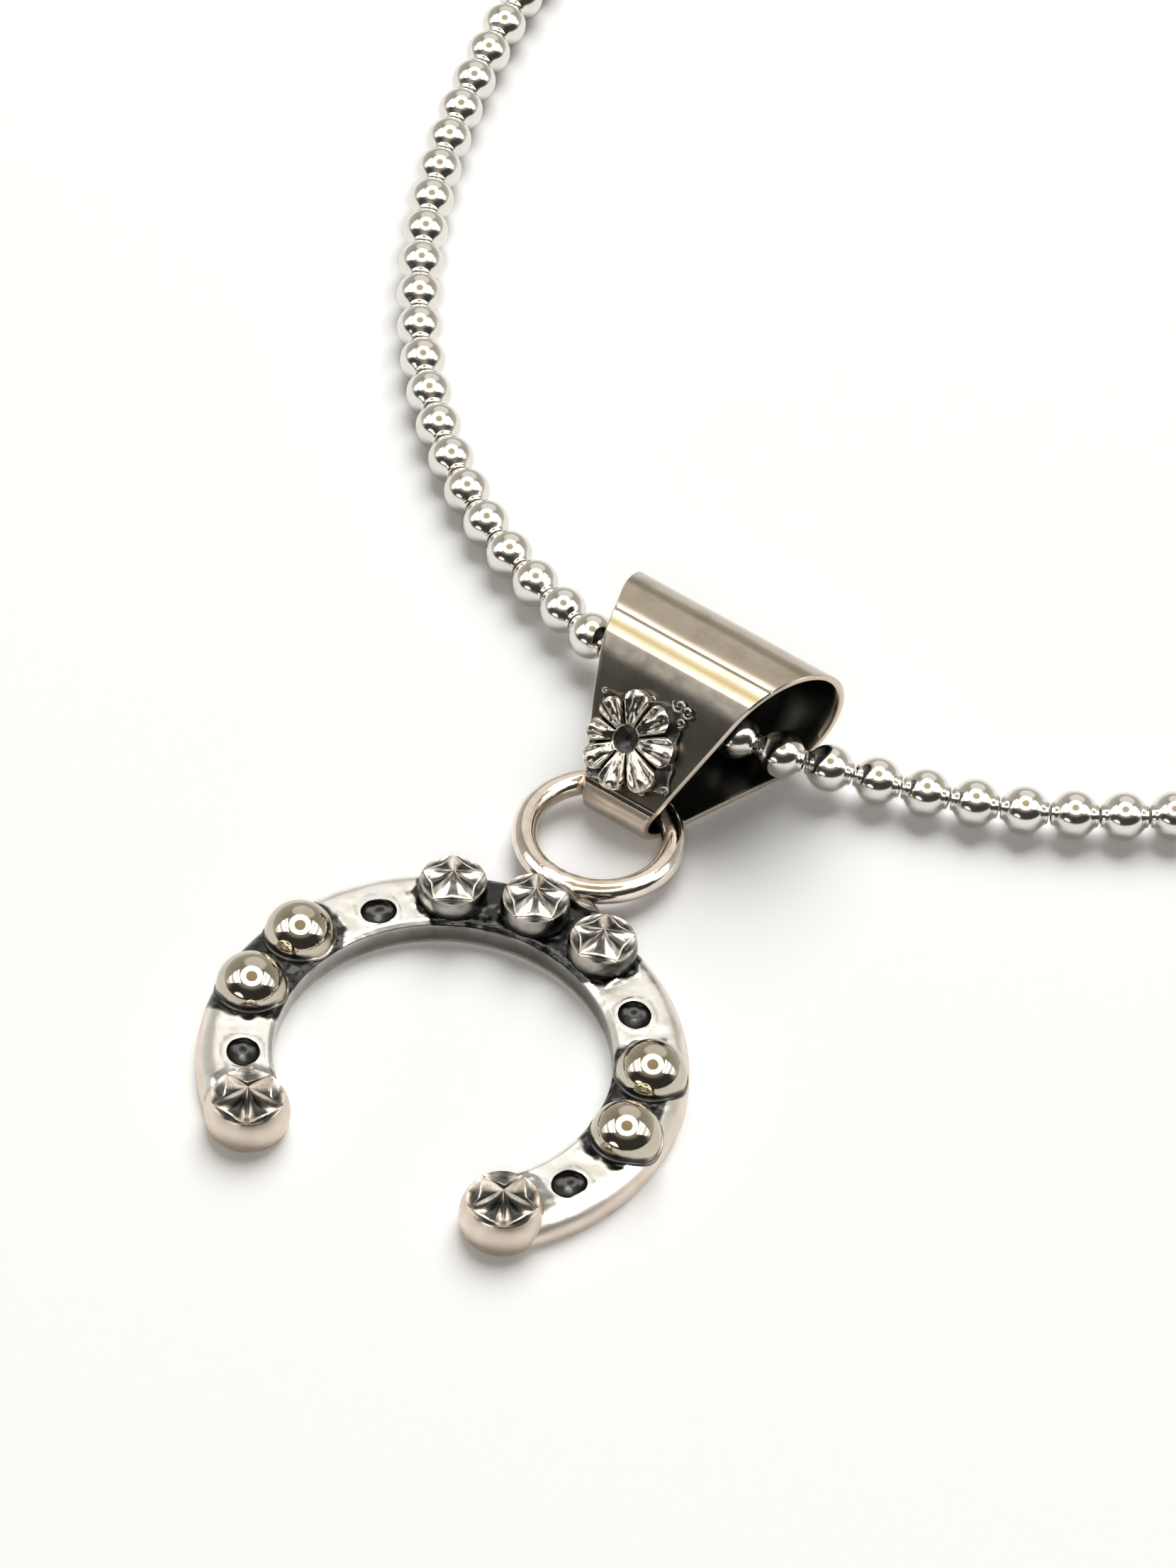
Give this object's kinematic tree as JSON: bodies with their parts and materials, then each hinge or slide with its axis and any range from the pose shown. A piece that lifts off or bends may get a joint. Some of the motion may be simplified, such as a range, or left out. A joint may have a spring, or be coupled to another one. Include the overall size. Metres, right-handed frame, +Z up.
{
  "type": "naja pendant on a string of beads",
  "caption": "Crescent silver pendant edged with domed balls, held by a jump ring and a wide folded bail with a petalled rosette on a closed string of small round beads.",
  "frame": {"origin": "middle of the crescent, on the surface that the pendant lies on", "axes": "+Y from the crescent's open side to its jump ring and on through the loop of beads, +Z up out of the pendant's face, +X to the right as seen from above"},
  "size_m": [0.112, 0.1883, 0.0095],
  "materials": {
    "naja_silver": "polished cast silver, darkened in the recesses",
    "bail_silver": "satin rolled silver sheet",
    "bead_silver": "polished",
    "thread": "twisted nylon",
    "clasp_silver": "polished"
  },
  "bodies": {
    "root": {"naja": "naja_silver", "bail": "bail_silver", "bead_string": "bead_silver", "thread": "thread", "clasp": "clasp_silver"}
  },
  "joints": []
}
